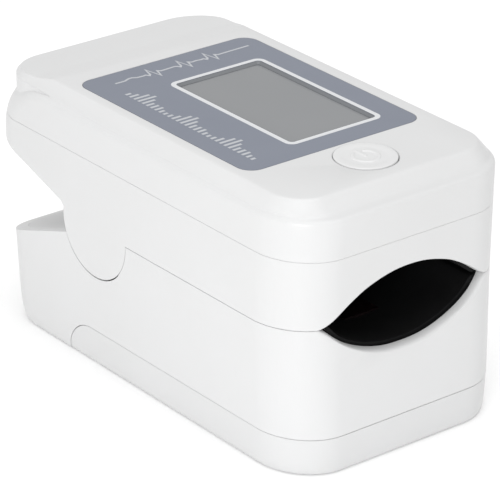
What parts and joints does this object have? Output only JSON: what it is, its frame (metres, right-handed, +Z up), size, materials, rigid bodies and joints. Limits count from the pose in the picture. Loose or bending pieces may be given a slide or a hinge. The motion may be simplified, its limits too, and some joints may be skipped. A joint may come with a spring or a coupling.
{
  "type": "fingertip pulse oximeter",
  "caption": "Clip-on fingertip pulse oximeter: spring-closed hinged jaws with a padded finger channel, a display deck with push button, and a slide-off battery cover.",
  "frame": {"origin": "centre of the bounding box's base, on the surface the device rests on", "axes": "+X out of the finger opening along the longest side, +Y across the body, +Z up through the display"},
  "size_m": [0.0584, 0.032, 0.0326],
  "materials": {
    "white_shell": "satin moulded ABS",
    "white_button": "satin moulded ABS",
    "white_cover": "satin moulded ABS",
    "white_frame": "matt moulded ABS",
    "grey_print": "screen-printed polyester film",
    "clear_window": "clear polycarbonate",
    "screen_glass": "dark glass module",
    "circuit_board": "green solder mask",
    "black_plastic": "moulded",
    "black_silicone": "matt silicone",
    "led_lens": "clear epoxy",
    "steel": "plain",
    "spring_steel": "wire",
    "nickel": "nickel plated",
    "cell_wrap": "plain printed sleeve",
    "amber_film": "polyimide film"
  },
  "bodies": {
    "lower_jaw": {"lower_jaw_shell": "white_shell", "rear_top_panel": "white_frame", "lower_pad_frame": "white_frame", "lower_finger_pad": "black_silicone", "sensor_window": "clear_window", "sensor_board": "circuit_board", "photodiode": "led_lens", "battery_cells": "cell_wrap", "battery_spring_contacts": "nickel", "battery_plate_contacts": "nickel", "frame_screws": "steel", "torsion_springs": "spring_steel", "flex_cable": "amber_film"},
    "upper_jaw": {"top_cover": "white_shell", "display_label": "grey_print", "display_window": "clear_window", "display_module": "screen_glass", "display_holder": "white_frame", "main_circuit_board": "circuit_board", "circuit_chips": "black_plastic", "buzzer": "black_plastic", "tact_switch": "black_plastic", "upper_jaw_shell": "white_shell", "upper_finger_pad": "black_silicone", "emitter_window": "clear_window", "emitter_board": "circuit_board", "light_emitters": "led_lens", "cover_screws": "steel", "hinge_pins": "steel"},
    "power_button": {"power_button": "white_button"},
    "battery_cover": {"battery_cover": "white_cover"}
  },
  "joints": [
    {"name": "jaw_hinge", "type": "hinge", "parent": "lower_jaw", "child": "upper_jaw", "pos_m": [-0.0076, 0, 0.0177], "axis": [0, -1, 0], "range_deg": [0, 26], "stiffness_Nm_per_rad": 0.06, "springref_deg": -28.65, "deforming": ["torsion_springs", "flex_cable"]},
    {"name": "power_button_press", "type": "slide", "parent": "upper_jaw", "child": "power_button", "axis": [0, 0, -1], "range_m": [0, 0.0003], "stiffness_N_per_m": 1000, "springref_m": -0.0004},
    {"name": "battery_cover_slide", "type": "slide", "parent": "lower_jaw", "child": "battery_cover", "axis": [1, 0, 0], "range_m": [0, 0.045]}
  ]
}
